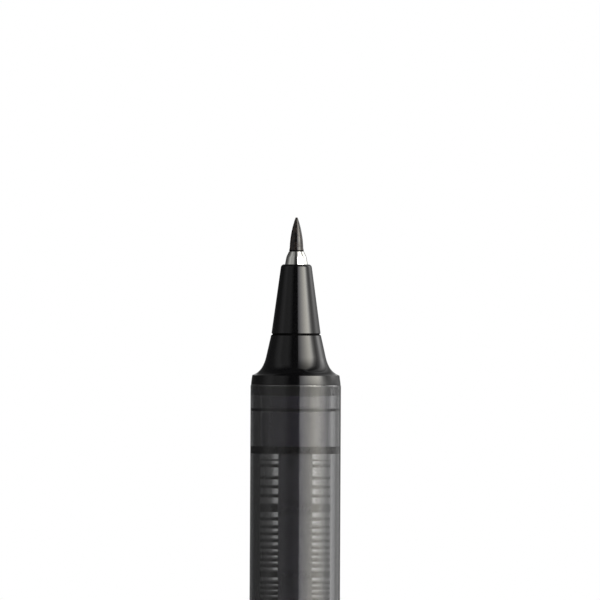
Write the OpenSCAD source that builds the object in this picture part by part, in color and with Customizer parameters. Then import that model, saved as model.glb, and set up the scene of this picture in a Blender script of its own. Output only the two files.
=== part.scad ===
// Fineliner pen with a liquid-ink barrel, a finned ink collector and its cap pushed on the tail.
// The pen stands on the flat end of its cap. The origin is the centre of that face, +Z runs
// along the axis to the nib, and the clip is on +X. All sizes are in millimetres.

/* [Nib and ferrule] */
// Diameter of the fibre nib rod
nib_d = 1.6; // [1.2:0.1:1.9]
// Length of nib that stands out of the ferrule
nib_out = 4; // [3:0.1:5]
// Length of the taper that the nib's point is ground from
nib_point_len = 4.2; // [3.5:0.1:6]
// Radius of the rounded writing tip
nib_tip_r = 0.3; // [0.1:0.02:0.4]
// Full length of the nib rod
nib_len = 24; // [21:0.5:26]
// Diameter of the metal ferrule where it enters the nose cone
ferrule_d = 2.68; // [2.4:0.02:2.8]
// Diameter of the ferrule's front lip
ferrule_lip_d = 1.76; // [1.7:0.02:1.9]
// Length of ferrule that stands out of the nose cone
ferrule_out = 1.5; // [1:0.1:2.5]
// Length of ferrule pressed into the nose cone
ferrule_shank_len = 5; // [3:0.1:5.5]

/* [Nose cone] */
// Length of the nose cone
nose_len = 8.15; // [7:0.1:10]
// Diameter of the nose cone at its front
nose_front_d = 3.55; // [3.3:0.05:3.9]
// Diameter of the nose cone at its base
nose_base_d = 5.75; // [5.3:0.05:6.2]
// Rounding of the nose cone's front edge
nose_edge_r = 0.4; // [0.1:0.05:0.4]
// Width of the groove between nose cone and front section
groove_w = 0.1; // [0.06:0.02:0.4]
// Depth of that groove
groove_depth = 0.12; // [0.06:0.02:0.3]
// Rounding of the groove's two edges
groove_edge_r = 0.09; // [0.04:0.01:0.15]

/* [Front section] */
// Length of the front section ahead of the barrel
section_len = 5.85; // [5:0.1:8]
// Diameter of the front section's own narrow end
section_front_d = 5.86; // [5.3:0.02:6.2]
// Height of the collar that meets the barrel
collar_h = 1.1; // [0.6:0.05:1.6]
// How much the collar leans in from its lower edge to its upper one
collar_lean = 0.14; // [0.06:0.02:0.3]
// How far the barrel's rim stands proud of the collar's lower edge
collar_step = 0.04; // [0.02:0.01:0.1]
// Radius of the wide hollow where the cone starts to open out
swell_r = 4.2; // [2:0.1:6]
// Radius of the tighter hollow where it flares out to the collar
flare_r = 2.2; // [0.6:0.1:2.6]
// Outer diameter of the snout tube that holds the nose cone
snout_d = 3.7; // [3.4:0.05:3.9]
// Length of the snout tube
snout_len = 2.8; // [1.5:0.1:3]
// Length of the section's plug inside the barrel
plug_len = 7.2; // [6:0.1:10]
// Diameter of the plug's bore, which holds the collector's stem
plug_bore_d = 5.2; // [4.4:0.1:6]
// Length of the plug's tight land behind the collar
land_len = 1.25; // [0.8:0.05:1.8]
// Depth of the relief behind that land
relief_depth = 0.15; // [0.05:0.01:0.25]
// Distance of the plug's snap bead from the barrel's rim
bead_at = 2.75; // [2:0.05:4]
// Length of the snap bead
bead_len = 0.35; // [0.2:0.05:0.6]

/* [Barrel] */
// Outer diameter of the barrel
barrel_d = 10.6; // [10:0.1:12]
// Wall thickness of the barrel
barrel_wall = 1.15; // [0.8:0.05:1.3]
// Length of the barrel
barrel_len = 114.2; // [105:0.2:130]
// Diameter of the barrel at its tail end
barrel_tail_d = 10.3; // [10:0.05:10.5]
// Length of the taper at the tail
tail_taper_len = 34; // [25:1:50]
// Rounding of the barrel's front rim
rim_r = 0.15; // [0.05:0.05:0.3]

/* [Tail plug] */
// Thickness of the tail plug's flange
tail_flange_t = 1.2; // [0.8:0.1:2.5]
// Diameter of the flange
tail_flange_d = 10.2; // [9.8:0.05:10.4]
// Length of the plug's spigot in the barrel
tail_spigot_len = 6; // [4:0.5:9]
// Wall of the spigot's cup
tail_cup_wall = 0.9; // [0.6:0.1:1.4]
// Rounding of the flange's outer edge
tail_edge_r = 0.3; // [0.1:0.05:0.5]

/* [Ink collector] */
// Length of the collector's head, the land that seals against the barrel
head_len = 0.86; // [0.5:0.05:1.5]
// Length of the stem that plugs into the front section
stem_len = 6.6; // [5:0.1:7]
// Thickness of one fin
fin_t = 0.33; // [0.25:0.01:0.36]
// Thickness of the thin rib in the first gap
rib_t = 0.12; // [0.08:0.01:0.2]
// Radial play between the fins and the barrel
fin_play = 0.05; // [0.03:0.01:0.2]
// Diameter of the core that carries the fins
core_d = 3.5; // [3:0.1:4.5]
// Length of the first group of fins
first_group_len = 5.86; // [5.6:0.02:7]
// Length of the second group of fins
second_group_len = 6.92; // [6.6:0.02:8]
// Length of each of the rear groups
rear_group_len = 5.7; // [5.4:0.02:7]
// Number of rear groups
rear_groups = 3; // [2:1:4]
// Number of fins in each rear group
rear_fins = 8; // [6:1:8]
// Thickness of the flange after the first group
first_flange_t = 0.94; // [0.6:0.02:1.2]
// Thickness of the other flanges
rear_flange_t = 0.7; // [0.5:0.02:1]
// Width of the plain web along the front
front_web_w = 3.66; // [3:0.02:5]
// Width of the web along the back, which carries the ink slit
back_web_w = 1.7; // [1.2:0.05:2.5]
// Width of the capillary ink slit
slit_w = 0.24; // [0.15:0.01:0.4]
// Width of the air notch in each fin
notch_w = 1; // [0.6:0.05:1.6]
// Depth of the air notch
notch_depth = 0.7; // [0.3:0.05:1.2]
// Angle of the air notch, round from the clip's side towards the back
notch_angle = 52; // [30:1:65]

/* [Feed and ink] */
// Diameter of the fibre feed rod
feed_d = 1.9; // [1.7:0.05:2.2]
// Length of feed rod that reaches into the ink chamber
feed_out = 3.5; // [1:0.5:8]
// Height of air between the ink's surface and the feed rod
ink_air = 18; // [2:1:50]

/* [Cap] */
// Length of the cap
cap_len = 57; // [52:1:62]
// Wall thickness of the cap's shell
cap_wall = 0.7; // [0.6:0.05:1.2]
// Number of grip ribs inside the cap
cap_ribs = 6; // [3:1:8]
// Width of one grip rib
cap_rib_w = 0.8; // [0.5:0.1:1.5]
// Distance of the ribs' ends from the cap's mouth
mouth_plain = 5; // [3:0.5:10]
// Rounding of the cap's mouth
mouth_r = 0.25; // [0.1:0.05:0.3]
// Thickness of the end plug's flange
end_t = 1.6; // [1:0.1:3]
// Rounding of the end plug's outer edge
end_edge_r = 0.6; // [0.2:0.1:0.9]
// Length of the end plug's spigot
end_spigot_len = 4; // [2.5:0.5:6]
// Number of air vents through the end plug
vents = 3; // [2:1:6]
// Diameter of one air vent
vent_d = 0.8; // [0.5:0.1:0.9]

/* [Cap liner] */
// Wall thickness of the liner
liner_wall = 0.6; // [0.4:0.05:0.8]
// Thickness of the liner's closed end
liner_floor = 0.9; // [0.5:0.05:1.5]
// Space around the nose cone inside the liner
liner_room = 0.55; // [0.4:0.05:0.7]
// Space that the nib's tip has above the liner's closed end
nib_room = 2; // [1:0.1:4]
// Height of the liner's sealing rim
liner_rim_h = 1.3; // [0.8:0.1:2.5]
// Height over which the liner widens to its rim
liner_flare_h = 3.5; // [2.5:0.1:5]
// Width of the seat that the liner's rim gives the pen
seat_w = 0.6; // [0.4:0.05:0.8]

/* [Clip] */
// Thickness of the clip's steel strip
clip_t = 0.45; // [0.35:0.05:0.6]
// Width of the clip at its root
clip_root_w = 3.8; // [3:0.1:5]
// Width of the clip at its tip
clip_tip_w = 3; // [2.6:0.1:4]
// Length of the clip's arm from its root to its tip
clip_arm_len = 38.5; // [32:0.5:42]
// Gap between the clip's arm and the cap at the root
clip_gap = 1.6; // [1.2:0.1:2.2]
// Gap between the clip's arm and the cap at the dimple
clip_tip_gap = 1.15; // [0.9:0.05:1.4]
// Distance of the pressed dimple from the clip's tip
dimple_at = 4; // [3:0.1:6]
// Length of the lip that is bent up at the clip's tip
lip_len = 1.8; // [1:0.1:2.5]
// Angle of that lip
lip_angle = 28; // [15:1:40]
// Inner radius of the clip's bends
bend_r = 0.35; // [0.2:0.05:0.5]
// Length of the hook inside the cap
hook_len = 2.1; // [1.8:0.1:3]
// Width of the tab that goes through the cap's wall
tab_w = 2.6; // [2:0.1:3]
// Height of the tab above the end plug's spigot
tab_rise = 0.85; // [0.5:0.05:2]

/* [Fits] */
// Radial gap between pieces that are pressed or welded together
press_gap = 0.02; // [0.01:0.01:0.04]
// Radial gap round the nib and the feed rod
rod_gap = 0.05; // [0.02:0.01:0.1]
// Radial gap between the cap's ribs and the barrel
grip_gap = 0.07; // [0.05:0.01:0.15]
// Height of the cap's grip ribs
grip_rib_h = 0.2; // [0.15:0.05:0.4]
// Radial gap between the ink and the wall that holds it
ink_gap = 0.03; // [0.02:0.01:0.06]
// Gap that keeps the dimple off the cap
touch_gap = 0.08; // [0.05:0.01:0.15]
// Gap round the clip's tab in the cap's window
window_gap = 0.14; // [0.1:0.02:0.3]

/* [Hidden] */

// Smoothness of the round pieces, and the number of steps in one rounded corner
$fn = 96;
arc_steps = 5;
point_steps = 16;
// One overrun serves every cut
over = 1;
// Places of the thin rib and the fins in the first group, as shares of its length
rib_share = 0.125;
first_fin_shares = [0.24, 0.48, 0.66, 0.84];
// Places of the fins in the second group, as shares of its length
second_fin_shares = [0.119, 0.253, 0.369, 0.486, 0.6, 0.706, 0.809, 0.91];
// Corners where the section's cone opens out and where it flares, out and along from its front
swell_corner_shares = [0.309, 0.65];
flare_corner_shares = [0.587, 0.925];
// Share of a side that a rounding may use up
rounding_share = 0.9;
// Roundings of the clip's tip, as a share of its width
clip_round_share = 0.46;
// Height and width of the ferrule's front roll, as shares of the lip's radius
roll_shares = [0.7, 0.33];

// Sizes across the axis
barrel_r = barrel_d / 2;
bore_r = barrel_r - barrel_wall;
collar_r = barrel_r - collar_step;
nib_bore_d = nib_d + 2 * rod_gap;
feed_bore_d = feed_d + 2 * rod_gap;
snout_bore_d = nib_bore_d + 2 * rod_gap;
stem_d = plug_bore_d - 2 * press_gap;
fin_r = bore_r - fin_play;
shell_bore_r = barrel_r + grip_gap + grip_rib_h;
shell_r = shell_bore_r + cap_wall;
liner_bore_r = nose_base_d / 2 + liner_room;
liner_r = liner_bore_r + liner_wall;
seat_r = tail_flange_d / 2 - seat_w;

// Places along the axis, from the cap's flat end up to the nib's tip
front_len = nib_out + ferrule_out + nose_len + groove_w + section_len;
liner_top = end_t + liner_floor + nib_room + front_len - collar_h;
barrel_z = liner_top + tail_flange_t;
rim_z = barrel_z + barrel_len;
section_z = rim_z + section_len;
nose_z = section_z + groove_w;
ferrule_z = nose_z + nose_len;
nib_z = ferrule_z + ferrule_out;
tip_z = nib_z + nib_out;
plug_z = rim_z - plug_len;
head_z = plug_z - head_len;
nib_end_z = tip_z - nib_len;
first_flange_z = head_z - first_group_len - first_flange_t;
second_flange_z = first_flange_z - second_group_len - rear_flange_t;
rear_pitch = rear_group_len + rear_flange_t;
collector_z = second_flange_z - rear_groups * rear_pitch;
feed_z = collector_z - feed_out;
ink_z = barrel_z + tail_spigot_len;
tab_z = end_t + end_spigot_len + tab_rise;

// One corner [r, z, radius] of an outline, rounded between its two neighbours
function flat(p) = [p[0], p[1]];
function unit(v) = v / norm(v);
function turn(a) = a > 180 ? a - 360 : a < -180 ? a + 360 : a;
function corner(before, at, after, steps) =
    let(
        back = flat(before) - flat(at),
        ahead = flat(after) - flat(at),
        half = acos(unit(back) * unit(ahead)) / 2,
        room = rounding_share * min(norm(back), norm(ahead)),
        reach = min(at[2] / tan(half), room)
    )
    reach <= 0 ? [flat(at)] :
    let(
        radius = reach * tan(half),
        centre = flat(at) + unit(unit(back) + unit(ahead)) * radius / sin(half),
        from = flat(at) + unit(back) * reach - centre,
        to = flat(at) + unit(ahead) * reach - centre,
        start = atan2(from[1], from[0]),
        sweep = turn(atan2(to[1], to[0]) - start)
    )
    [for (i = [0:steps]) centre + radius * [cos(start + sweep * i / steps), sin(start + sweep * i / steps)]];

// Outline through the corners, with every corner that has a radius rounded
function rounded(corners, steps = arc_steps) =
    let(n = len(corners))
    [for (i = [0:n - 1]) each corner(corners[(i + n - 1) % n], corners[i], corners[(i + 1) % n], steps)];

module turned(corners) {
    rotate_extrude() polygon(rounded(corners));
}

// Radius of the nib at a distance from its tip: a ground ogive with a round end
function nib_radius(from_tip) =
    let(
        r = nib_d / 2,
        arc = (r * r + nib_point_len * nib_point_len) / (2 * r),
        left = max(nib_point_len - from_tip - nib_tip_r, 0),
        ground = sqrt(arc * arc - left * left) - arc + r,
        round_end = sqrt(max(nib_tip_r * nib_tip_r - pow(max(nib_tip_r - from_tip, 0), 2), 0))
    )
    from_tip < nib_tip_r ? min(ground, round_end) : min(ground, r);

module nib() {
    profile = [
        for (i = [0:point_steps])
            let(from_tip = nib_point_len * pow(i / point_steps, 2))
            [nib_radius(from_tip), tip_z - from_tip]
    ];
    color("#26221f")
    rotate_extrude()
    polygon(concat(profile, [[nib_d / 2, nib_end_z], [0, nib_end_z]]));
}

module nib_ferrule() {
    lip_r = ferrule_lip_d / 2;
    lip_edge = (lip_r - nib_bore_d / 2) / 2;
    color("#d9dadd")
    turned([
        [nib_bore_d / 2, nib_z, 0],
        [lip_r, nib_z, lip_edge],
        [lip_r + roll_shares[1] * lip_r, nib_z - roll_shares[0] * lip_r, lip_r],
        [ferrule_d / 2, ferrule_z, 0],
        [ferrule_d / 2, ferrule_z - ferrule_shank_len, 0],
        [nib_bore_d / 2, ferrule_z - ferrule_shank_len, 0]
    ]);
}

module nose_cone() {
    shank_seat = ferrule_z - ferrule_shank_len;
    snout_top = nose_z - groove_w + snout_len + 2 * press_gap;
    color("#141414")
    turned([
        [ferrule_d / 2 + press_gap, ferrule_z, 0],
        [nose_front_d / 2, ferrule_z, nose_edge_r],
        [nose_base_d / 2, nose_z, groove_edge_r],
        [snout_d / 2 + press_gap, nose_z, 0],
        [snout_d / 2 + press_gap, snout_top, 0],
        [snout_bore_d / 2, snout_top, 0],
        [snout_bore_d / 2, shank_seat, 0],
        [ferrule_d / 2 + press_gap, shank_seat, 0]
    ]);
}

module front_section() {
    collar_top = rim_z + collar_h;
    upper_r = collar_r - collar_lean;
    front_r = section_front_d / 2;
    out = upper_r - front_r;
    along = section_len - collar_h;
    swell = [front_r + swell_corner_shares[0] * out, section_z - swell_corner_shares[1] * along];
    flare = [front_r + flare_corner_shares[0] * out, section_z - flare_corner_shares[1] * along];
    plug_r = bore_r - press_gap;
    relief_r = plug_r - relief_depth;
    bead_z = rim_z - bead_at;
    land_z = rim_z - land_len;
    stem_seat = plug_z + stem_len + 2 * press_gap;
    neck_r = nose_base_d / 2 - groove_depth;
    color("#161616")
    turned([
        [snout_bore_d / 2, section_z + snout_len, 0],
        [snout_d / 2, section_z + snout_len, 2 * press_gap],
        [snout_d / 2, nose_z, 0],
        [neck_r, nose_z, 0],
        [neck_r, section_z, 0],
        [front_r, section_z, groove_edge_r],
        [swell[0], swell[1], swell_r],
        [flare[0], flare[1], flare_r],
        [upper_r, collar_top, 2 * press_gap],
        [collar_r, rim_z, 0],
        [plug_r, rim_z, 0],
        [plug_r, land_z, relief_depth],
        [relief_r, land_z - relief_depth, 0],
        [relief_r, bead_z + relief_depth, 0],
        [plug_r, bead_z, 0],
        [plug_r, bead_z - bead_len, 0],
        [relief_r, bead_z - bead_len - relief_depth, 0],
        [relief_r, plug_z, 0],
        [plug_bore_d / 2, plug_z, 0],
        [plug_bore_d / 2, stem_seat, 0],
        [snout_bore_d / 2, stem_seat, 0]
    ]);
}

module barrel() {
    color("#5b5862", 0.5)
    turned([
        [bore_r, barrel_z, 0],
        [barrel_tail_d / 2, barrel_z, rim_r],
        [barrel_r, barrel_z + tail_taper_len, 0],
        [barrel_r, rim_z, rim_r],
        [bore_r, rim_z, 0]
    ]);
}

module tail_plug() {
    spigot_r = bore_r - press_gap;
    cup_r = spigot_r - tail_cup_wall;
    lead = tail_cup_wall / 2;
    color("#1d1d1d")
    turned([
        [0, liner_top, 0],
        [tail_flange_d / 2, liner_top, tail_edge_r],
        [tail_flange_d / 2, barrel_z, 0],
        [spigot_r, barrel_z, 0],
        [spigot_r, ink_z - lead, 0],
        [spigot_r - press_gap, ink_z, lead],
        [cup_r, ink_z, 0],
        [cup_r, barrel_z, tail_cup_wall],
        [0, barrel_z, 0]
    ]);
}

module ink() {
    column_r = bore_r - ink_gap;
    cup_r = bore_r - press_gap - tail_cup_wall - ink_gap;
    color("#0c0b12")
    turned([
        [0, barrel_z + ink_gap, 0],
        [cup_r, barrel_z + ink_gap, tail_cup_wall + ink_gap],
        [cup_r, ink_z + ink_gap, 0],
        [column_r, ink_z + ink_gap, 0],
        [column_r, feed_z - ink_air, 0],
        [0, feed_z - ink_air, 0]
    ]);
}

// Discs of the collector as [height of the middle, half thickness]
function fins_in(top, length, shares) = [for (share = shares) [top - share * length, fin_t / 2]];
function even_shares(count) = [for (i = [1:count]) i / (count + 1)];
function rear_top(i) = second_flange_z - i * rear_pitch;

module disc(place, r) {
    translate([0, 0, place[0] - place[1]]) cylinder(h = 2 * place[1], r = r);
}

module collector() {
    stem_top = plug_z + stem_len;
    stem_r = stem_d / 2;
    web_len = head_z - collector_z;
    first = fins_in(head_z, first_group_len, first_fin_shares);
    second = fins_in(first_flange_z, second_group_len, second_fin_shares);
    rear = [for (i = [0:rear_groups - 1]) each fins_in(rear_top(i), rear_group_len, even_shares(rear_fins))];
    first_flange = [first_flange_z + first_flange_t / 2, first_flange_t / 2];
    rear_flanges = [for (i = [0:rear_groups]) [rear_top(i) + rear_flange_t / 2, rear_flange_t / 2]];
    color("#201f26")
    difference() {
        union() {
            // Stem, head and core
            translate([0, 0, plug_z]) cylinder(h = stem_len, r = stem_r);
            translate([0, 0, head_z]) cylinder(h = head_len, r = bore_r - press_gap);
            translate([0, 0, collector_z]) cylinder(h = web_len, r = core_d / 2);
            // Fins with an air notch at the side, then the flanges and the thin rib
            difference() {
                for (place = concat(first, second, rear)) disc(place, fin_r);
                rotate(notch_angle)
                translate([fin_r - notch_depth, -notch_w / 2, collector_z])
                cube([notch_depth + over, notch_w, web_len]);
            }
            for (place = concat([first_flange], rear_flanges)) disc(place, bore_r - press_gap);
            disc([head_z - rib_share * first_group_len, rib_t / 2], fin_r);
            // Webs along the front and the back
            translate([0, 0, collector_z])
            linear_extrude(web_len)
            intersection() {
                circle(r = fin_r);
                union() {
                    translate([-front_web_w / 2, -fin_r]) square([front_web_w, fin_r]);
                    translate([-back_web_w / 2, 0]) square([back_web_w, fin_r]);
                }
            }
        }
        translate([0, 0, collector_z - over])
        cylinder(h = stem_top - collector_z + 2 * over, r = feed_bore_d / 2);
        translate([-slit_w / 2, 0, collector_z - over])
        cube([slit_w, bore_r + over, web_len + over]);
    }
}

module feed_rod() {
    color("#8f8a80")
    translate([0, 0, feed_z])
    cylinder(h = nib_end_z - feed_z, r = feed_d / 2);
}

module cap_shell() {
    rib_r = shell_bore_r - grip_rib_h;
    rib_z = liner_top + 2 * press_gap;
    window_h = clip_t + 2 * window_gap;
    window_w = tab_w + 2 * window_gap;
    color("#4d4b55", 0.55)
    difference() {
        union() {
            turned([
                [shell_bore_r, end_t, 0],
                [shell_r, end_t, 0],
                [shell_r, cap_len, mouth_r],
                [shell_bore_r, cap_len, mouth_r]
            ]);
            // Grip ribs, each a short sector of a ring
            translate([0, 0, rib_z])
            linear_extrude(cap_len - mouth_plain - rib_z)
            difference() {
                intersection() {
                    circle(r = shell_bore_r + cap_wall / 2);
                    for (i = [0:cap_ribs - 1])
                        rotate((i + 1 / 2) * 360 / cap_ribs)
                        translate([0, -cap_rib_w / 2])
                        square([shell_r, cap_rib_w]);
                }
                circle(r = rib_r);
            }
        }
        // Window for the clip's tab
        translate([liner_r, -window_w / 2, tab_z - window_h / 2])
        cube([shell_r, window_w, window_h]);
    }
}

module cap_end_plug() {
    spigot_r = shell_bore_r - press_gap;
    cup_r = liner_r + press_gap;
    vent_at = (cup_r + spigot_r) / 2;
    color("#151515")
    difference() {
        turned([
            [0, 0, 0],
            [shell_r, 0, end_edge_r],
            [shell_r, end_t, 0],
            [spigot_r, end_t, 0],
            [spigot_r, end_t + end_spigot_len, end_edge_r / 2],
            [cup_r, end_t + end_spigot_len, 0],
            [cup_r, end_t, 0],
            [0, end_t, 0]
        ]);
        for (i = [0:vents - 1])
            rotate((i + 1 / 2) * 360 / vents)
            translate([vent_at, 0, -over])
            cylinder(h = end_t + end_spigot_len + 2 * over, r = vent_d / 2, $fn = 24);
    }
}

module cap_liner() {
    rim_r_out = shell_bore_r - press_gap;
    rim_z0 = liner_top - liner_rim_h;
    flare_z = rim_z0 - liner_flare_h;
    floor_z = end_t + liner_floor;
    color("#cfd2cd", 0.7)
    turned([
        [0, end_t, 0],
        [liner_r, end_t, liner_wall],
        [liner_r, flare_z, 3 * liner_wall],
        [seat_r + liner_wall, rim_z0, 0],
        [rim_r_out, rim_z0, 0],
        [rim_r_out, liner_top, liner_wall / 4],
        [seat_r, liner_top, liner_wall / 3],
        [seat_r, rim_z0, liner_wall],
        [liner_bore_r, flare_z, 3 * liner_wall],
        [liner_bore_r, floor_z, liner_wall],
        [0, floor_z, 0]
    ]);
}

// Strip of the clip's thickness along a line of [x, z] points
function away(points, i) =
    let(
        n = len(points),
        along = unit(points[min(i + 1, n - 1)] - points[max(i - 1, 0)])
    )
    [-along[1], along[0]];
function strip(points, thick) = concat(
    [for (i = [0:len(points) - 1]) points[i] + away(points, i) * thick / 2],
    [for (i = [len(points) - 1:-1:0]) points[i] - away(points, i) * thick / 2]
);
// Open line through the corners, with the inner corners rounded
function bent(corners) =
    let(n = len(corners))
    concat(
        [flat(corners[0])],
        [for (i = [1:n - 2]) each corner(corners[i - 1], corners[i], corners[i + 1], arc_steps)],
        [flat(corners[n - 1])]
    );

// Solid bowl that opens along +X, with its rim at the origin and a neck of the given length
module bowl(r, neck) {
    quarter = [for (i = [0:2 * arc_steps]) let(a = 90 * i / (2 * arc_steps)) r * [sin(a), -cos(a)]];
    rotate([0, 90, 0])
    rotate_extrude()
    polygon(concat(quarter, [[r, neck], [0, neck]]));
}

// Outline of [x, z] points, extruded evenly to both sides of the y = 0 plane
module side_view(points, width) {
    translate([0, width / 2, 0]) rotate([90, 0, 0]) linear_extrude(width) polygon(points);
}

module cap_clip() {
    mid_r = bend_r + clip_t / 2;
    hook_x = shell_bore_r - clip_t - window_gap;
    root_x = shell_r + clip_gap + clip_t / 2;
    arm_top = tab_z + clip_arm_len;
    dimple_z = arm_top - dimple_at;
    tip_x = shell_r + clip_tip_gap + clip_t / 2;
    lip_x = tip_x + lip_len * tan(lip_angle);
    line = bent([
        [hook_x, tab_z + hook_len, 0],
        [hook_x, tab_z, mid_r],
        [root_x, tab_z, 2 * mid_r],
        [tip_x, dimple_z, 0],
        [tip_x, arm_top - lip_len, 2 * mid_r],
        [lip_x, arm_top, 0]
    ]);
    dimple_r = clip_tip_gap - touch_gap;
    shoulder_z = tab_z + clip_root_w / 2;
    plan = rounded([
        [-tab_w / 2, tab_z - clip_t, 0],
        [tab_w / 2, tab_z - clip_t, 0],
        [tab_w / 2, tab_z + clip_t, clip_t],
        [clip_root_w / 2, shoulder_z, clip_t],
        [clip_tip_w / 2, arm_top, clip_round_share * clip_tip_w],
        [-clip_tip_w / 2, arm_top, clip_round_share * clip_tip_w],
        [-clip_root_w / 2, shoulder_z, clip_t],
        [-tab_w / 2, tab_z + clip_t, clip_t]
    ]);
    arm_x = shell_r + clip_gap / 2;
    color("#c9cbd0")
    difference() {
        union() {
            // Tab through the window, with the hook behind the cap's wall
            intersection() {
                side_view(strip(line, clip_t), tab_w);
                translate([0, -tab_w / 2, tab_z - clip_t])
                cube([arm_x, tab_w, hook_len + 2 * clip_t]);
            }
            // Arm, cut to its tapering outline
            intersection() {
                side_view(strip(line, clip_t), clip_root_w);
                translate([arm_x, 0, 0])
                rotate([90, 0, 90])
                linear_extrude(lip_x + clip_t - arm_x)
                polygon(plan);
            }
            // Pressed dimple that bears on the cloth
            translate([tip_x - clip_t / 2, 0, dimple_z]) bowl(dimple_r, clip_t / 2);
        }
        translate([tip_x - clip_t / 2, 0, dimple_z]) bowl(dimple_r - clip_t, clip_t + over);
    }
}

nib();
nib_ferrule();
nose_cone();
front_section();
collector();
feed_rod();
barrel();
ink();
tail_plug();
cap_shell();
cap_liner();
cap_end_plug();
cap_clip();
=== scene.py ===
import math

import bmesh
import bpy
import numpy as np
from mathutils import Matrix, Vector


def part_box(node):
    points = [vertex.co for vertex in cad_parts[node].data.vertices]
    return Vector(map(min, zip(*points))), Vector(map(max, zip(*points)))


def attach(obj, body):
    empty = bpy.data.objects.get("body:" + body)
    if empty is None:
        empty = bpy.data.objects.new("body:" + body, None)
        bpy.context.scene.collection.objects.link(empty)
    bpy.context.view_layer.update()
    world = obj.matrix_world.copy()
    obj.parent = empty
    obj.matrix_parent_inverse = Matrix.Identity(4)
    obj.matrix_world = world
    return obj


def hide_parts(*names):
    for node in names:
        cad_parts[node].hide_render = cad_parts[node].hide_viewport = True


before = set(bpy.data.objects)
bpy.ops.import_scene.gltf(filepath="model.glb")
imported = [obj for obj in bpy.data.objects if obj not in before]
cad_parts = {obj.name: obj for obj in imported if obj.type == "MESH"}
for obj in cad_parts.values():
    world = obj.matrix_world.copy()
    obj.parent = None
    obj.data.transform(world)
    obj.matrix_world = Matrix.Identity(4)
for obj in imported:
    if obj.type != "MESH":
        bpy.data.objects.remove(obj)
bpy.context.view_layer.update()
scene = bpy.context.scene
scene.view_settings.view_transform = "Standard"
mm = 0.001

# The camera stands level in front of the pen, far off behind a long lens. The photograph shows
# 70.3 mm across its 600 pixels, with the pen's tip 217.4 pixels down and its axis 3.8 pixels left
# of the middle, leaning a quarter of a degree to the right.
PHOTO_PIXELS = 600
PIXEL = 0.11713 * mm
LENS_MM = 600
SENSOR_MM = 36
TIP_ROW = 217.4
AXIS_COLUMN = 296.2
LEAN = math.radians(-0.28)
tip_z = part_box("nib")[1].z
camera_data = bpy.data.cameras.new("camera")
camera_data.lens = LENS_MM
camera_data.sensor_width = SENSOR_MM
camera = bpy.data.objects.new("camera", camera_data)
camera_away = PHOTO_PIXELS * PIXEL * LENS_MM / SENSOR_MM
camera.location = (
    (PHOTO_PIXELS / 2 - AXIS_COLUMN) * PIXEL,
    -camera_away,
    tip_z - (PHOTO_PIXELS / 2 - TIP_ROW) * PIXEL,
)
camera.rotation_euler = (math.radians(90), LEAN, 0)
camera_data.clip_end = 10
scene.collection.objects.link(camera)
scene.camera = camera

# The studio: a pale round table, one tall soft panel that starts right beside the camera and
# wraps round the pen's right side, and a white backdrop. The left side is left dim, as it is for
# gloss black things, so that their form shows.
TABLE_RINGS = (0.001, 0.1, 0.4, 2.5)
TABLE_STEPS = 96
TABLE_FADE_FROM, TABLE_FADE_TO = 0.12, 0.42
PANEL_RADIUS = 0.45
PANEL_FROM, PANEL_TO = 10, 138
PANEL_LOW, PANEL_HIGH = 0.04, 1.4
PANEL_ROWS, PANEL_COLUMNS = 15, 67
SOFT_SHARE = 0.5
AMBIENT = 0.42


def mesh_object(name, vertices, faces):
    """An object at the origin from an array of vertices and a list of faces."""
    mesh = bpy.data.meshes.new(name)
    mesh.from_pydata(vertices.tolist(), [], faces)
    mesh.update()
    made = bpy.data.objects.new(name, mesh)
    scene.collection.objects.link(made)
    return made


def grid_faces(rows, columns, row_wraps=False, column_wraps=False):
    """Quads between neighbouring points of a grid with that many rows and columns."""
    i = np.arange(rows if row_wraps else rows - 1)
    j = np.arange(columns if column_wraps else columns - 1)
    i, j = (a.ravel() for a in np.meshgrid(i, j, indexing="ij"))
    up, along = (i + 1) % rows, (j + 1) % columns
    return np.stack(
        [i * columns + j, i * columns + along, up * columns + along, up * columns + j], 1
    )


def node_adder(tree):
    """A function that adds one node to the tree, with its sockets linked or given values."""

    def add(kind, inputs=None, **settings):
        node = tree.nodes.new(kind)
        for key, value in settings.items():
            setattr(node, key, value)
        for socket, value in (inputs or {}).items():
            if isinstance(value, bpy.types.NodeSocket):
                tree.links.new(value, node.inputs[socket])
            else:
                node.inputs[socket].default_value = value
        return node

    return add


def shader_tree(name):
    """A material with nodes, its tree, its Principled shader and its node adder."""
    material = bpy.data.materials.new(name)
    material.use_nodes = True
    tree = material.node_tree
    return material, tree, tree.nodes["Principled BSDF"], node_adder(tree)


def ramp(add, factor, stops):
    """A smooth run of grey or colour through (place, value) stops."""
    node = add("ShaderNodeValToRGB", {"Fac": factor})
    elements = node.color_ramp.elements
    while len(elements) < len(stops):
        elements.new(1)
    for element, (place, value) in zip(elements, stops):
        element.position = place
        element.color = (*value, 1) if isinstance(value, tuple) else (value, value, value, 1)
    return node.outputs["Color"]


around = np.linspace(0, 2 * math.pi, TABLE_STEPS, endpoint=False)
x, y = np.outer(TABLE_RINGS, np.cos(around)), np.outer(TABLE_RINGS, np.sin(around))
table_points = np.stack([x, y, np.zeros_like(x)], 2).reshape(-1, 3)
table_faces = grid_faces(len(TABLE_RINGS), TABLE_STEPS, column_wraps=True)
table = mesh_object("table", table_points, table_faces.tolist())
material, tree, shader, add = shader_tree("table_white")
place = add("ShaderNodeTexCoord").outputs["Object"]
away = add("ShaderNodeVectorMath", {0: place}, operation="LENGTH").outputs["Value"]
fade = add(
    "ShaderNodeMapRange",
    {"Value": away, "From Min": TABLE_FADE_FROM, "From Max": TABLE_FADE_TO},
).outputs["Result"]
seen = add("ShaderNodeLightPath").outputs["Is Camera Ray"]
both = add("ShaderNodeMath", {0: fade, 1: seen}, operation="MULTIPLY").outputs[0]
shader.inputs["Base Color"].default_value = (0.82, 0.82, 0.82, 1)
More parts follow.
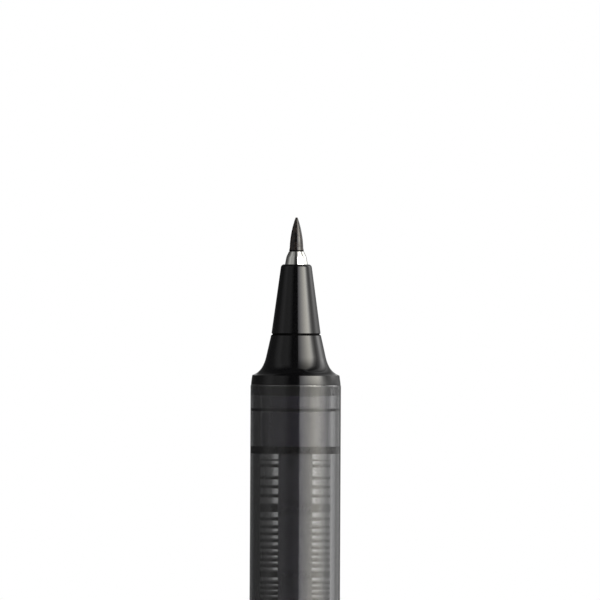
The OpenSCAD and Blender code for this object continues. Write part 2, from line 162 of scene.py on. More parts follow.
shader.inputs["Roughness"].default_value = 0.7
shader.inputs["Specular IOR Level"].default_value = 0.2
white = add("ShaderNodeEmission", {"Color": (1, 1, 1, 1), "Strength": 1.0}).outputs[0]
mixed = add("ShaderNodeMixShader", {0: both, 1: shader.outputs[0], 2: white})
tree.links.new(mixed.outputs[0], tree.nodes["Material Output"].inputs["Surface"])
table.data.materials.append(material)

# How bright the panel is round the pen, in degrees from the camera, level with the pen's barrel
# and higher up, where the nose's cone mirrors it. Between the two heights one turns into the
# other.
PANEL_LEVEL = [
    (10, 1.6), (18, 2.1), (30, 2.7), (42, 3.6), (50, 4.5), (61, 4.9),
    (74, 3.7), (87, 1.7), (98, 1.15), (110, 1.0), (118, 0.82), (128, 0.8), (138, 0.65),
]
PANEL_RAISED = [
    (10, 1.5), (14, 1.9), (26, 4.2), (38, 6.4), (50, 8.8), (61, 10.3), (68, 8.0),
    (73, 5.2), (78, 2.4), (90, 0.7), (104, 1.3), (112, 2.7), (122, 2.9), (138, 0.7),
]
BRIGHTEST = 11.2
LEVEL_TO, RAISED_FROM = 0.18, 0.25
# The panel's colour by the same angle: warmest where it is brightest.
PANEL_TINT = [
    (10, (0.98, 0.965, 1.0)), (14, (0.98, 0.965, 0.995)), (25, (1.0, 0.98, 0.955)),
    (38, (1.0, 0.97, 0.9)), (56, (1.0, 0.97, 0.88)), (70, (1.0, 0.985, 0.935)),
    (90, (1.0, 0.99, 0.965)), (110, (1.0, 0.995, 0.99)),
]
# How the panel fades towards its top, by its height in metres.
PANEL_FADE = [
    (0.28, 1.0), (0.36, 0.74), (0.54, 0.38), (0.7, 0.21), (0.93, 0.15), (1.2, 0.11), (1.4, 0.04),
]
turn, height = np.meshgrid(
    np.radians(np.linspace(PANEL_FROM, PANEL_TO, PANEL_COLUMNS)),
    np.linspace(PANEL_LOW, PANEL_HIGH, PANEL_ROWS),
)
panel_points = np.stack(
    [PANEL_RADIUS * np.sin(turn), -PANEL_RADIUS * np.cos(turn), height], 2
).reshape(-1, 3)
panel_faces = grid_faces(PANEL_ROWS, PANEL_COLUMNS)
panel = mesh_object("soft_panel", panel_points, panel_faces.tolist())
panel.visible_camera = panel.visible_shadow = False
material, tree, shader, add = shader_tree("panel_light")
place = add("ShaderNodeSeparateXYZ", {0: add("ShaderNodeTexCoord").outputs["Object"]})
front = add("ShaderNodeMath", {0: place.outputs["Y"], 1: -1.0}, operation="MULTIPLY").outputs[0]
angle = add("ShaderNodeMath", {0: place.outputs["X"], 1: front}, operation="ARCTAN2").outputs[0]
share = add("ShaderNodeMath", {0: angle, 1: math.pi}, operation="DIVIDE").outputs[0]
raised, level = (
    ramp(add, share, [(degrees / 180, strength / BRIGHTEST) for degrees, strength in rows])
    for rows in (PANEL_RAISED, PANEL_LEVEL)
)
up = add(
    "ShaderNodeMapRange",
    {"Value": place.outputs["Z"], "From Min": LEVEL_TO, "From Max": RAISED_FROM},
).outputs["Result"]
light = add("ShaderNodeMixRGB", {0: up, 1: level, 2: raised}).outputs[0]
tint = ramp(add, share, [(degrees / 180, colour) for degrees, colour in PANEL_TINT])
tinted = add("ShaderNodeMixRGB", {0: 1.0, 1: light, 2: tint}, blend_type="MULTIPLY").outputs[0]
high = add("ShaderNodeMath", {0: place.outputs["Z"], 1: PANEL_HIGH}, operation="DIVIDE").outputs[0]
fading = ramp(add, high, [(metres / PANEL_HIGH, share) for metres, share in PANEL_FADE])
top = add("ShaderNodeMath", {0: fading, 1: BRIGHTEST}, operation="MULTIPLY").outputs[0]
path = add("ShaderNodeLightPath").outputs
mirrored = add(
    "ShaderNodeMath",
    {0: path["Is Glossy Ray"], 1: path["Is Transmission Ray"]},
    operation="MAXIMUM",
).outputs[0]
spread = add(
    "ShaderNodeMapRange", {"Value": mirrored, "To Min": SOFT_SHARE, "To Max": 1.0}
).outputs["Result"]
power = add("ShaderNodeMath", {0: top, 1: spread}, operation="MULTIPLY").outputs[0]
glow = add("ShaderNodeEmission", {"Color": tinted, "Strength": power}).outputs[0]
tree.links.new(glow, tree.nodes["Material Output"].inputs["Surface"])
panel.data.materials.append(material)

# What gloss and clear plastic see round the room, in degrees from the camera: dim on the left,
# nothing at the camera, and the white backdrop straight behind the pen. Overhead there is a pale
# ceiling on the right.
ROOM = [
    (-180, 0.1), (-176, 0.12), (-175.2, 0.7), (-172.6, 0.5), (-171.4, 0.15), (-166, 0.08),
    (-145, 0.05), (-120, 0.06), (-100, 0.11), (-82, 0.32), (-70, 0.42), (-58, 0.3), (-35, 0.32),
    (-24, 0.17), (-16, 0.03), (10, 0.03), (30, 0.4), (120, 0.6), (144, 0.62), (150, 0.35),
    (157, 0.2), (165, 0.27), (170, 0.38), (172.5, 0.45), (174, 0.9), (175.2, 1.3), (176, 0.12),
    (180, 0.1),
]
CEILING_FROM, CEILING_TO = 0.22, 0.36
CEILING_DARK, CEILING_PALE = 0.04, 0.65
WALL_TOP, CEILING_LOW = 0.7, 0.9
world = bpy.data.worlds.new("studio")
scene.world = world
world.use_nodes = True
tree = world.node_tree
add = node_adder(tree)
way = add("ShaderNodeSeparateXYZ", {0: add("ShaderNodeTexCoord").outputs["Generated"]})
front = add("ShaderNodeMath", {0: way.outputs["Y"], 1: -1.0}, operation="MULTIPLY").outputs[0]
angle = add("ShaderNodeMath", {0: way.outputs["X"], 1: front}, operation="ARCTAN2").outputs[0]
share = add(
    "ShaderNodeMapRange", {"Value": angle, "From Min": -math.pi, "From Max": math.pi}
).outputs["Result"]
walls = ramp(add, share, [(degrees / 360 + 0.5, value) for degrees, value in ROOM])
ceiling = add(
    "ShaderNodeMapRange",
    {"Value": way.outputs["X"], "From Min": CEILING_FROM, "From Max": CEILING_TO,
     "To Min": CEILING_DARK, "To Max": CEILING_PALE},
).outputs["Result"]
up = add(
    "ShaderNodeMapRange",
    {"Value": way.outputs["Z"], "From Min": WALL_TOP, "From Max": CEILING_LOW},
).outputs["Result"]
room = add("ShaderNodeMix", {"Factor": up, "A": walls, "B": ceiling}).outputs["Result"]
path = add("ShaderNodeLightPath").outputs
mirrored = add(
    "ShaderNodeMath",
    {0: path["Is Glossy Ray"], 1: path["Is Transmission Ray"]},
    operation="MAXIMUM",
).outputs[0]
lit = add("ShaderNodeMix", {"Factor": mirrored, "A": AMBIENT, "B": room}).outputs["Result"]
strength = add(
    "ShaderNodeMix", {"Factor": path["Is Camera Ray"], "A": lit, "B": 1.0}
).outputs["Result"]
tree.links.new(strength, tree.nodes["Background"].inputs["Strength"])
tree.nodes["Background"].inputs["Color"].default_value = (1, 1, 1, 1)

# The cap's end plug: injection moulded in black, with a rounded edge that the pen stands on, a
# spigot that the cap's tube is pressed over, and air vents so that it can't block a throat.
SHARP = math.radians(28)


def dress(piece, material, body, node):
    """Smooth shading with true edges and even flats, the material, the body that the piece rides
    on, and the CAD node that it stands for, which is hidden."""
    mesh = piece.data
    mesh.polygons.foreach_set("use_smooth", np.ones(len(mesh.polygons), bool))
    mesh.set_sharp_from_angle(angle=SHARP)
    weighted = piece.modifiers.new("even_flats", "WEIGHTED_NORMAL")
    weighted.keep_sharp = True
    weighted.weight = 100
    if material is not None:
        mesh.materials.append(material)
    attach(piece, body)
    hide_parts(node)


def moulded_black(name, dark, light):
    """Gloss black moulding: nearly mirror smooth, with the faint waviness and handling haze that
    polished plastic has."""
    material, tree, shader, add = shader_tree(name)
    place = add("ShaderNodeTexCoord").outputs["Object"]
    haze = add("ShaderNodeTexNoise", {"Vector": place, "Scale": 420.0, "Detail": 4.0})
    grain = add("ShaderNodeTexNoise", {"Vector": place, "Scale": 5200.0, "Detail": 2.0})
    roughness = add(
        "ShaderNodeMapRange", {"Value": haze.outputs["Fac"], "To Min": 0.05, "To Max": 0.16}
    ).outputs["Result"]
    tint = ramp(add, grain.outputs["Fac"], [(0.35, dark), (0.7, light)])
    bump = add(
        "ShaderNodeBump",
        {"Height": grain.outputs["Fac"], "Strength": 0.04, "Distance": 0.02 * mm},
    ).outputs["Normal"]
    tree.links.new(roughness, shader.inputs["Roughness"])
    tree.links.new(tint, shader.inputs["Base Color"])
    tree.links.new(bump, shader.inputs["Normal"])
    shader.inputs["Specular IOR Level"].default_value = 0.5
    return material


def from_cad(name, node, bevel=0.0):
    """A copy of a CAD node's mesh with its loose triangles joined, and its edges eased."""
    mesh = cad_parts[node].data.copy()
    mesh.materials.clear()
    loose = bmesh.new()
    loose.from_mesh(mesh)
    bmesh.ops.remove_doubles(loose, verts=loose.verts, dist=0.001 * mm)
    loose.to_mesh(mesh)
    loose.free()
    piece = bpy.data.objects.new(name, mesh)
    scene.collection.objects.link(piece)
    if bevel:
        eased = piece.modifiers.new("eased", "BEVEL")
        eased.width = bevel * mm
        eased.segments = 3
        eased.limit_method = "ANGLE"
        eased.angle_limit = SHARP
    return piece


black = moulded_black("moulded_black", (0.0016, 0.0016, 0.0019), (0.0044, 0.0044, 0.005))
dress(from_cad("end_plug", "cap_end_plug"), black, "cap", "cap_end_plug")

# The cap's inner liner: a thin cup of milky plastic, pressed in behind the grip ribs. It keeps
# the nib wet when the cap is on the nose, and the pen's tail rests on its rim.
def milky_liner():
    """Natural polypropylene: clear enough to let light through, cloudy enough to blur it."""
    material, tree, shader, add = shader_tree("milky_liner")
    place = add("ShaderNodeTexCoord").outputs["Object"]
    cloud = add("ShaderNodeTexNoise", {"Vector": place, "Scale": 700.0, "Detail": 3.0})
    roughness = add(
        "ShaderNodeMapRange", {"Value": cloud.outputs["Fac"], "To Min": 0.3, "To Max": 0.45}
    ).outputs["Result"]
    tint = ramp(add, cloud.outputs["Fac"], [(0.3, (0.74, 0.75, 0.73)), (0.7, (0.82, 0.83, 0.81))])
    tree.links.new(roughness, shader.inputs["Roughness"])
    tree.links.new(tint, shader.inputs["Base Color"])
    shader.inputs["Transmission Weight"].default_value = 0.45
    shader.inputs["IOR"].default_value = 1.49
    return material


dress(from_cad("inner_liner", "cap_liner"), milky_liner(), "cap", "cap_liner")

# The cap's tube: moulded in the same smoke-grey plastic as the barrel, with a rounded mouth and
# grip ribs inside, and a window that the clip's tab goes through.
SMOKE_TINT = (0.13, 0.137, 0.15, 1)
SMOKE_DENSITY = 390.0


def smoke_clear(name, touching=0.0):
    """Clear smoke-grey polypropylene, whose grey deepens with the wall's thickness. The share of
    a face that another piece or ink touches neither mirrors nor bends light."""
    material, tree, shader, add = shader_tree(name)
    place = add("ShaderNodeTexCoord").outputs["Object"]
    flow = add("ShaderNodeTexNoise", {"Vector": place, "Scale": 260.0, "Detail": 3.0})
    roughness = add(
        "ShaderNodeMapRange", {"Value": flow.outputs["Fac"], "To Min": 0.0, "To Max": 0.05}
    ).outputs["Result"]
    tree.links.new(roughness, shader.inputs["Roughness"])
    shader.inputs["Transmission Weight"].default_value = 0.985
    shader.inputs["IOR"].default_value = 1.49
    clear = add("ShaderNodeBsdfTransparent").outputs[0]
    if touching == 1:
        surface = clear
    else:
        lamp_ray = add("ShaderNodeLightPath").outputs["Is Shadow Ray"]
        through = add("ShaderNodeMath", {0: lamp_ray, 1: touching}, operation="MAXIMUM").outputs[0]
        surface = add(
            "ShaderNodeMixShader", {0: through, 1: shader.outputs[0], 2: clear}
        ).outputs[0]
    out = tree.nodes["Material Output"]
    tree.links.new(surface, out.inputs["Surface"])
    grey = add("ShaderNodeVolumeAbsorption", {"Color": SMOKE_TINT, "Density": SMOKE_DENSITY})
    tree.links.new(grey.outputs[0], out.inputs["Volume"])
    if touching == 1:
        tree.nodes.remove(shader)
    return material


smoke = smoke_clear("smoke_clear")
dress(from_cad("cap_tube", "cap_shell"), smoke, "cap", "cap_shell")

# The clip: a strip of spring steel, pressed and bent, then tumbled bright. Its tab goes through
# the cap's window and hooks behind the wall.
CLIP_EDGE = 0.07


def bright_steel():
    """Tumbled steel: bright, with fine lines along the strip and small soft dents."""
    material, tree, shader, add = shader_tree("bright_steel")
    place = add("ShaderNodeTexCoord").outputs["Object"]
    along = add("ShaderNodeMapping", {"Vector": place, "Scale": (1.0, 1.0, 0.04)}).outputs[0]
    lines = add("ShaderNodeTexNoise", {"Vector": along, "Scale": 9000.0, "Detail": 3.0})
    dents = add("ShaderNodeTexNoise", {"Vector": place, "Scale": 600.0, "Detail": 2.0})
    roughness = add(
        "ShaderNodeMapRange", {"Value": lines.outputs["Fac"], "To Min": 0.1, "To Max": 0.26}
    ).outputs["Result"]
    tint = ramp(add, dents.outputs["Fac"], [(0.3, (0.58, 0.58, 0.6)), (0.7, (0.7, 0.7, 0.72))])
    bump = add(
        "ShaderNodeBump",
        {"Height": lines.outputs["Fac"], "Strength": 0.15, "Distance": 0.01 * mm},
    ).outputs["Normal"]
    tree.links.new(roughness, shader.inputs["Roughness"])
    tree.links.new(tint, shader.inputs["Base Color"])
    tree.links.new(bump, shader.inputs["Normal"])
    shader.inputs["Metallic"].default_value = 1.0
    return material


dress(from_cad("clip_strip", "cap_clip", CLIP_EDGE), bright_steel(), "clip", "cap_clip")

# The tail plug: a cup moulded in black and pressed into the barrel's tail. Its spigot holds the
# ink in, and its end seats on the liner's rim when the cap is pushed on.
dress(from_cad("tail_stopper", "tail_plug"), black, "pen", "tail_plug")

# The ink: black with a violet cast. It fills the barrel from its tail plug up, round the
# collector's stem, with the pen standing nib up.
def wet_ink():
    """A dark liquid with a mirror-smooth face."""
    material, tree, shader, add = shader_tree("wet_ink")
    place = add("ShaderNodeTexCoord").outputs["Object"]
    cloud = add("ShaderNodeTexNoise", {"Vector": place, "Scale": 160.0, "Detail": 2.0})
    tint = ramp(
        add, cloud.outputs["Fac"], [(0.3, (0.004, 0.003, 0.008)), (0.7, (0.008, 0.006, 0.014))]
    )
    tree.links.new(tint, shader.inputs["Base Color"])
    shader.inputs["Roughness"].default_value = 0.03
    shader.inputs["IOR"].default_value = 1.34
    return material


dress(from_cad("ink_column", "ink"), wet_ink(), "pen", "ink")

# The barrel: a smoke-grey moulded tube with a rounded front rim. Other pieces meet its bore in
# bands: the section's bead, the collector's head and the ink all round and without a gap, the
# section's land and the rims of the collector's fins only in part.
ARC_STEPS = 6
MOST_OF_SIDE = 0.9
TURNED_STEPS = 160
BARREL_STEPS = 192
BARREL_R = 5.3
WALL = 1.15
BORE_R = BARREL_R - WALL
TAIL_R = 5.15
TAPER = 34.0
RIM_ROUND = 0.15
GLINT_SHARE = 0.8
LAND = 1.25
BEAD_AT, BEAD = 2.75, 0.35
PLUG = 7.2
HEAD = 0.86
FIN_RIM_R = 4.0
UPRIGHT = 0.5
WEB_W, BACK_WEB_W = 3.66, 1.7
# How much of the land and of the rims really touches the bore, and how far from the plane through
# the middle of both webs ink joins the rims to it.
TOUCHING_SHARE = 0.58
INK_REACH = 2.55
barrel_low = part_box("barrel")[0].z / mm
barrel_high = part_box("barrel")[1].z / mm
head_low = barrel_high - PLUG - HEAD
wetted_bands = [
    (barrel_high - BEAD_AT - BEAD, barrel_high - BEAD_AT),
    (head_low, head_low + HEAD),
    (barrel_low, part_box("ink")[1].z / mm),
]


def rounded(corners, steps=ARC_STEPS):
    """Points along a closed outline of (radius, height, rounding) corners in millimetres. A
    rounding is the arc that touches both sides of its corner: it starts the rounding's radius
    over the tangent of the corner's half angle away, or at most of the shorter side."""
    points = []
    count = len(corners)
    for i, (r, z, radius) in enumerate(corners):
        at = np.array([r, z], float)
        back = np.array(corners[i - 1][:2]) - at
        ahead = np.array(corners[(i + 1) % count][:2]) - at
        if radius <= 0:
            points.append(at)
            continue
        u, w = back / np.linalg.norm(back), ahead / np.linalg.norm(ahead)
        half = math.acos(np.clip(u @ w, -1, 1)) / 2
        shorter = min(np.linalg.norm(back), np.linalg.norm(ahead))
        reach = min(radius / math.tan(half), MOST_OF_SIDE * shorter)
        true_radius = reach * math.tan(half)
        centre = at + (u + w) / np.linalg.norm(u + w) * true_radius / math.sin(half)
        start, end = at + u * reach - centre, at + w * reach - centre
        first = math.atan2(start[1], start[0])
        sweep = (math.atan2(end[1], end[0]) - first + math.pi) % (2 * math.pi) - math.pi
        for k in range(steps + 1):
            a = first + sweep * k / steps
            points.append(centre + true_radius * np.array([math.cos(a), math.sin(a)]))
    return np.array(points)


def turned_mesh(name, outline, steps=TURNED_STEPS):
    """A closed outline of (radius, height) points in millimetres, spun round the pen's axis: x
    and y are the radius times the turn's cosine and sine. An outline that starts and ends on the
    axis is closed there by a fan of triangles."""
    outline = np.asarray(outline) * mm
    solid = outline[0, 0] < 1e-9 and outline[-1, 0] < 1e-9
    rims = outline[1:-1] if solid else outline
    theta = 2 * math.pi * np.arange(steps) / steps
    points = np.stack(
        [
            np.outer(rims[:, 0], np.cos(theta)),
            np.outer(rims[:, 0], np.sin(theta)),
            np.repeat(rims[:, 1:], steps, 1),
        ],
        2,
    ).reshape(-1, 3)
    faces = grid_faces(len(rims), steps, not solid, True).tolist()
    if solid:
        last = (len(rims) - 1) * steps
        low, high = len(points), len(points) + 1
        points = np.vstack([points, [0, 0, outline[0, 1]], [0, 0, outline[-1, 1]]])
        faces += [[low, (j + 1) % steps, j] for j in range(steps)]
        faces += [[high, last + j, last + (j + 1) % steps] for j in range(steps)]
    return mesh_object(name, points, faces)


def polygon_vectors(piece, key):
    """The middle or the normal of every face of a piece, as rows of three."""
    rows = np.empty(3 * len(piece.data.polygons))
    piece.data.polygons.foreach_get(key, rows)
    return rows.reshape(-1, 3)


def rim_bands(piece, radius):
    """Lowest and highest height in millimetres of each rim past that radius on a finned piece:
    neighbouring heights of its corners, where upright faces beside the webs lie between them."""
    corners = np.empty(3 * len(piece.data.vertices))
    piece.data.vertices.foreach_get("co", corners)
    x, y, z = corners.reshape(-1, 3).T / mm
    heights = np.unique(z[np.hypot(x, y) > radius].round(3))
    x, y, z = polygon_vectors(piece, "center").T / mm
    upright = abs(polygon_vectors(piece, "normal")[:, 2]) < UPRIGHT
    rims = z[upright & (np.hypot(x, y) > radius) & (abs(x) > WEB_W / 2)]
    return [
        (low, high)
        for low, high in zip(heights, heights[1:])
        if ((rims > low) & (rims < high)).any()
    ]


def glinting_rim():
    """A painted glint at the rim's soft corner: an opaque dark grey with an unreal, strong mirror
    (IOR 2.6 at full specular) that stands in for the light the clear wall gathers inside and shows
    there."""
    material, tree, shader, add = shader_tree("glinting_rim")
    place = add("ShaderNodeTexCoord").outputs["Object"]
    grain = add("ShaderNodeTexNoise", {"Vector": place, "Scale": 3000.0, "Detail": 2.0})
    tint = ramp(
        add, grain.outputs["Fac"], [(0.3, (0.02, 0.02, 0.022)), (0.7, (0.045, 0.045, 0.048))]
    )
    tree.links.new(tint, shader.inputs["Base Color"])
    shader.inputs["Roughness"].default_value = 0.18
    shader.inputs["IOR"].default_value = 2.6
    shader.inputs["Specular IOR Level"].default_value = 1.0
    return material


outer = rounded([
    (BORE_R, barrel_low, 0),
    (TAIL_R, barrel_low, RIM_ROUND),
    (BARREL_R, barrel_low + TAPER, 0),
    (BARREL_R, barrel_high, RIM_ROUND),
    (BORE_R, barrel_high, 0),
])
fins = [band for band in rim_bands(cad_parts["collector"], FIN_RIM_R) if band[1] < head_low]
pressed_bands = [(barrel_high - LAND, barrel_high)] + fins
edges = {z for band in wetted_bands + pressed_bands for z in band}
bore = [(BORE_R, z) for z in sorted(edges, reverse=True) if barrel_low < z < barrel_high]
barrel = turned_mesh("smoke_barrel", np.vstack([outer, bore]), BARREL_STEPS)
barrel.data.materials.append(smoke)
barrel.data.materials.append(smoke_clear("smoke_wetted", 1.0))
barrel.data.materials.append(glinting_rim())
barrel.data.materials.append(smoke_clear("smoke_pressed", TOUCHING_SHARE))
x, y, z = polygon_vectors(barrel, "center").T / mm
inside = np.hypot(x, y) < BORE_R + 0.01
wetted, pressed = (
    np.any([(z > low) & (z < high) for low, high in bands], 0)
    for bands in (wetted_bands, pressed_bands)
)
over_web = abs(x) < np.where(y < 0, WEB_W, BACK_WEB_W) / 2
pressed &= (z > head_low) | ~over_web & (abs(x) < INK_REACH)
# The outer faces at the rim's soft corner carry the painted glint.
rim = (z > barrel_high - GLINT_SHARE * RIM_ROUND) & ~inside
index = np.where(rim, 2, inside & wetted).astype(np.int32)
index[inside & pressed] = 3
barrel.data.polygons.foreach_set("material_index", index)
dress(barrel, None, "pen", "barrel")

# The ink collector: one dark moulding, its fins a third of a millimetre thick, with a plain web
# down its front. Ink that the warm air pushes out of the chamber is held in the gaps between them.
def inked_moulding(name, dark, light, specular):
    """Dark plastic with a film of ink. Where a rim touches the barrel the ink joins the two, so
    that it mirrors nothing."""
    material, tree, shader, add = shader_tree(name)
    place = add("ShaderNodeTexCoord").outputs["Object"]
    film = add("ShaderNodeTexNoise", {"Vector": place, "Scale": 2600.0, "Detail": 3.0})
    roughness = add(
        "ShaderNodeMapRange", {"Value": film.outputs["Fac"], "To Min": 0.2, "To Max": 0.3}
    ).outputs["Result"]
    tint = ramp(add, film.outputs["Fac"], [(0.3, dark), (0.7, light)])
    tree.links.new(roughness, shader.inputs["Roughness"])
    tree.links.new(tint, shader.inputs["Base Color"])
    shader.inputs["Specular IOR Level"].default_value = specular
    return material


collector = from_cad("ink_collector", "collector")
for name, dark, light, specular in [
    ("inked_web", (0.029, 0.027, 0.039), (0.048, 0.045, 0.063), 0.35),
    ("wetted_rims", (0.006, 0.006, 0.008), (0.012, 0.012, 0.015), 0.0),
]:
    collector.data.materials.append(inked_moulding(name, dark, light, specular))
x, y, z = polygon_vectors(collector, "center").T / mm
upright = abs(polygon_vectors(collector, "normal")[:, 2]) < UPRIGHT
rims = upright & (np.hypot(x, y) > FIN_RIM_R) & ~((abs(x) < WEB_W / 2) & (y < 0))
collector.data.polygons.foreach_set("material_index", rims.astype(np.int32))
dress(collector, None, "pen", "collector")

# The feed rod: a bundle of fibres bonded into a rod, soaked black with ink. It leads the ink
# through the collector's bore to the nib.
def soaked_fibre(name, dark, light, roughness):
    """Bonded fibres that run along the rod, so that its colour and surface are streaked."""
    material, tree, shader, add = shader_tree(name)
    place = add("ShaderNodeTexCoord").outputs["Object"]
    along = add("ShaderNodeMapping", {"Vector": place, "Scale": (1.0, 1.0, 0.06)}).outputs[0]
    fibres = add("ShaderNodeTexNoise", {"Vector": along, "Scale": 11000.0, "Detail": 4.0})
    wet = add("ShaderNodeTexNoise", {"Vector": place, "Scale": 1900.0, "Detail": 2.0})
    both = add(
        "ShaderNodeMix", {"Factor": 0.68, "A": fibres.outputs["Fac"], "B": wet.outputs["Fac"]}
    ).outputs["Result"]
    tint = ramp(add, both, [(0.4, dark), (0.62, light)])
    rough = add(
        "ShaderNodeMapRange",
        {"Value": both, "From Min": 0.42, "From Max": 0.6, "To Min": roughness,
         "To Max": roughness + 0.3},
    ).outputs["Result"]
    bump = add(
        "ShaderNodeBump",
        {"Height": fibres.outputs["Fac"], "Strength": 0.35, "Distance": 0.02 * mm},
    ).outputs["Normal"]
    tree.links.new(tint, shader.inputs["Base Color"])
    tree.links.new(rough, shader.inputs["Roughness"])
    tree.links.new(bump, shader.inputs["Normal"])
    return material


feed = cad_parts["feed_rod"]
feed.data.materials.clear()
feed.data.materials.append(
    soaked_fibre("feed_fibre", (0.01, 0.01, 0.012), (0.03, 0.028, 0.03), 0.5)
)

# The front section: gloss black, its cone flaring in a hollow curve to the collar that covers
# the barrel's rim. Behind it a plug with a tight land and a snap bead goes into the barrel.
FRONT = 5.85
FRONT_R = 2.93
COLLAR_H = 1.1
COLLAR_R = BARREL_R - 0.04
COLLAR_TOP_R = COLLAR_R - 0.14
SWELL_R, SWELL_CORNER = 4.2, (0.309, 0.65)
FLARE_R, FLARE_CORNER = 2.2, (0.587, 0.925)
GROOVE = 0.1
GROOVE_EDGE = 0.09
NECK_R = 2.755
SNOUT_R, SNOUT = 1.85, 2.8
PLUG_R = BORE_R - 0.02
RELIEF = 0.15
PLUG_BORE_R, PLUG_BORE = 2.6, 6.64
PLUG_MOUTH, PLUG_EDGE = 0.1, 0.05
COLLAR_EDGE, COLLAR_TOP_EDGE = 0.03, 0.07
SNOUT_EDGE = 0.04
SECTION_ARC_STEPS = 9
NIB_BORE_R = 0.9
front_top = barrel_high + FRONT
swell, flare = (
    (FRONT_R + out * (COLLAR_TOP_R - FRONT_R), front_top - along * (FRONT - COLLAR_H))
    for out, along in (SWELL_CORNER, FLARE_CORNER)
)
land_low = barrel_high - LAND
bead_high = barrel_high - BEAD_AT
plug_low = barrel_high - PLUG


def painted_shade_black():
    """Painted shade: a near-black, matte moulding with random speckle that mirrors nothing. It
    goes in the groove between nose and section and on the ring where the nib leaves the ferrule.
    """
    material, tree, shader, add = shader_tree("painted_shade_black")
    place = add("ShaderNodeTexCoord").outputs["Object"]
    mottle = add("ShaderNodeTexNoise", {"Vector": place, "Scale": 2200.0, "Detail": 3.0})
    tint = ramp(
        add, mottle.outputs["Fac"], [(0.3, (0.0012, 0.0012, 0.0014)), (0.7, (0.004, 0.004, 0.0045))]
    )
    tree.links.new(tint, shader.inputs["Base Color"])
    shader.inputs["Roughness"].default_value = 0.7
    shader.inputs["Specular IOR Level"].default_value = 0.05
    return material


def coat_between(piece, material, low, high):
    """One more material, on every face of a piece that lies between two heights."""
    polygons = piece.data.polygons
    heights = polygon_vectors(piece, "center")[:, 2] / mm
    index = np.empty(len(heights), np.int32)
    polygons.foreach_get("material_index", index)
    index[(heights > low) & (heights < high)] = len(piece.data.materials)
    piece.data.materials.append(material)
    polygons.foreach_set("material_index", index)


relief_r = PLUG_R - RELIEF
section_outline = rounded([
    (NIB_BORE_R, plug_low + PLUG_BORE, 0),
    (PLUG_BORE_R, plug_low + PLUG_BORE, 0),
    (PLUG_BORE_R, plug_low, PLUG_MOUTH),
    (relief_r, plug_low, PLUG_EDGE),
    (relief_r, bead_high - BEAD - RELIEF, PLUG_EDGE),
    (PLUG_R, bead_high - BEAD, PLUG_EDGE),
    (PLUG_R, bead_high, PLUG_EDGE),
    (relief_r, bead_high + RELIEF, PLUG_EDGE),
    (relief_r, land_low - RELIEF, PLUG_EDGE),
    (PLUG_R, land_low, PLUG_EDGE),
    (PLUG_R, barrel_high, 0),
    (COLLAR_R, barrel_high, COLLAR_EDGE),
    (COLLAR_TOP_R, barrel_high + COLLAR_H, COLLAR_TOP_EDGE),
    (*flare, FLARE_R),
    (*swell, SWELL_R),
    (FRONT_R, front_top - GROOVE_EDGE, 0),
    (FRONT_R - GROOVE_EDGE, front_top, 0),
    (NECK_R, front_top, 0),
    (NECK_R, front_top + GROOVE, 0),
    (SNOUT_R, front_top + GROOVE, 0),
    (SNOUT_R, front_top + SNOUT, SNOUT_EDGE),
    (NIB_BORE_R, front_top + SNOUT, 0),
], SECTION_ARC_STEPS)
section = turned_mesh("flared_section", section_outline)
section.data.materials.append(black)
painted_shade = painted_shade_black()
# Painted shade: the section's groove chamfer and neck turn matte near-black.
coat_between(section, painted_shade, front_top - GROOVE_EDGE, front_top + 2 * GROOVE)
inked_black = moulded_black("inked_black", (0.0125, 0.0095, 0.0255), (0.0215, 0.0168, 0.04))
coat_between(section, inked_black, plug_low, barrel_high)
dress(section, None, "pen", "front_section")

# The nose cone: a separate gloss black moulding pushed over the section's snout, with a narrow
# groove between them, a soft front edge and a hole for the ferrule.
NOSE = 8.15
NOSE_TOP_R, NOSE_BASE_R = 1.775, 2.875
NOSE_EDGE = 0.4
NOSE_HOLE_EDGE = 0.03
SLIP = 0.02
SNOUT_ROOM = 0.04
NOSE_ARC_STEPS = 8
FERRULE_R = 1.34
FERRULE_SHANK = 5.0
nose_low = front_top + GROOVE
nose_high = nose_low + NOSE
nose_outline = rounded([
    (SNOUT_R + SLIP, nose_low, 0),
    (NOSE_BASE_R - GROOVE_EDGE, nose_low, 0),
    (NOSE_BASE_R, nose_low + GROOVE_EDGE, 0),
    (NOSE_TOP_R, nose_high, NOSE_EDGE),
    (FERRULE_R + SLIP, nose_high, NOSE_HOLE_EDGE),
    (FERRULE_R + SLIP, nose_high - FERRULE_SHANK, 0),
    (NIB_BORE_R, nose_high - FERRULE_SHANK, 0),
    (NIB_BORE_R, front_top + SNOUT + SNOUT_ROOM, 0),
    (SNOUT_R + SLIP, front_top + SNOUT + SNOUT_ROOM, 0),
], NOSE_ARC_STEPS)
nose = turned_mesh("nose", nose_outline)
nose.data.materials.append(black)
# Painted shade: the nose's lower chamfer in the groove turns matte near-black.
coat_between(nose, painted_shade, nose_low - GROOVE, nose_low + GROOVE_EDGE)
dress(nose, None, "pen", "nose_cone")

# The ferrule: turned and polished metal, pushed into the nose cone and rolled in at its front lip
# to grip the nib.
LIP_R = 0.88
ROLL = (0.7, 0.33)
LIP_EDGE, SHANK_EDGE = 0.03, 0.05
FERRULE_OUT = 1.5
FERRULE_ARC_STEPS = 9
NIB_R = 0.8
NIB_ROOM = 0.05
ferrule_high = nose_high + FERRULE_OUT
ferrule_outline = rounded([
    (NIB_R + NIB_ROOM, nose_high - FERRULE_SHANK, 0),
    (FERRULE_R, nose_high - FERRULE_SHANK, SHANK_EDGE),
    (FERRULE_R, nose_high, 0),
    (LIP_R * (1 + ROLL[1]), ferrule_high - ROLL[0] * LIP_R, LIP_R),
    (LIP_R, ferrule_high, LIP_EDGE),
    (NIB_R + NIB_ROOM, ferrule_high, 0),
], FERRULE_ARC_STEPS)


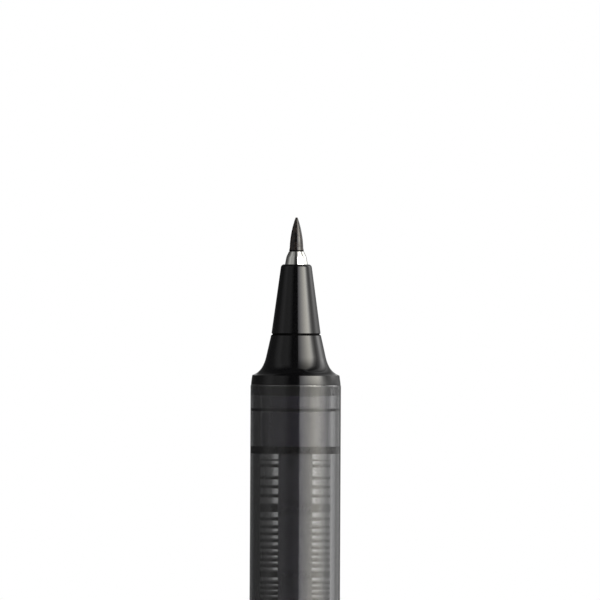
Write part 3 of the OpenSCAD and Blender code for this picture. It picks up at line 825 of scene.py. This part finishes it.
def polished_metal():
    """Nickel-plated and polished, with the hair-fine rings that turning leaves."""
    material, tree, shader, add = shader_tree("polished_metal")
    place = add("ShaderNodeTexCoord").outputs["Object"]
    stretched = add("ShaderNodeMapping", {"Vector": place, "Scale": (0.05, 0.05, 1.0)}).outputs[0]
    rings = add("ShaderNodeTexNoise", {"Vector": stretched, "Scale": 14000.0, "Detail": 2.0})
    roughness = add(
        "ShaderNodeMapRange", {"Value": rings.outputs["Fac"], "To Min": 0.05, "To Max": 0.14}
    ).outputs["Result"]
    bump = add(
        "ShaderNodeBump",
        {"Height": rings.outputs["Fac"], "Strength": 0.1, "Distance": 0.01 * mm},
    ).outputs["Normal"]
    tree.links.new(roughness, shader.inputs["Roughness"])
    tree.links.new(bump, shader.inputs["Normal"])
    shader.inputs["Metallic"].default_value = 1.0
    shader.inputs["Base Color"].default_value = (0.92, 0.92, 0.87, 1)
    return material


dress(turned_mesh("ferrule", ferrule_outline), polished_metal(), "pen", "nib_ferrule")

# The nib: a rod of bonded fibre, ground to a slim rounded point and soaked with ink. Where it
# leaves the ferrule's lip, a slight bulge of ink is coloured with painted shade: a dull black that
# mirrors nothing.
NIB_POINT = 4.2
NIB_TIP_R = 0.3
NIB_ROWS, NIB_STEPS = 40, 128
INK_RING_OUT, INK_RING_H = 0.06, 0.22
nib_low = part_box("nib")[0].z / mm
nib_high = tip_z / mm
# The point is an arc that starts upright where the rod ends, cut off by a small round end. Rows
# crowd towards the tip, as the square of their number.
from_tip = NIB_POINT * np.linspace(0, 1, NIB_ROWS) ** 2
arc = (NIB_R**2 + NIB_POINT**2) / (2 * NIB_R)
ground = np.sqrt(arc**2 - np.maximum(NIB_POINT - from_tip - NIB_TIP_R, 0) ** 2) - arc + NIB_R
round_end = np.sqrt(np.maximum(NIB_TIP_R**2 - np.maximum(NIB_TIP_R - from_tip, 0) ** 2, 0))
point = np.where(from_tip < NIB_TIP_R, np.minimum(ground, round_end), ground)
ink_ring = [
    (NIB_R, ferrule_high),
    (NIB_R + INK_RING_OUT, ferrule_high + 0.2 * INK_RING_H),
    (NIB_R + 0.9 * INK_RING_OUT, ferrule_high + 0.7 * INK_RING_H),
]
clear = nib_high - from_tip > ferrule_high + INK_RING_H
nib_outline = np.vstack([
    [(0, nib_low), (NIB_R, nib_low)],
    ink_ring,
    np.stack([point, nib_high - from_tip], 1)[clear][::-1],
])
nib = turned_mesh("fibre_nib", nib_outline, NIB_STEPS)
nib.data.materials.append(
    soaked_fibre("nib_fibre", (0.001, 0.001, 0.001), (0.034, 0.024, 0.018), 0.06)
)
# Painted shade: the ink ring at the ferrule's lip turns matte near-black.
coat_between(nib, painted_shade, ferrule_high, ferrule_high + INK_RING_H)
dress(nib, None, "pen", "nib")
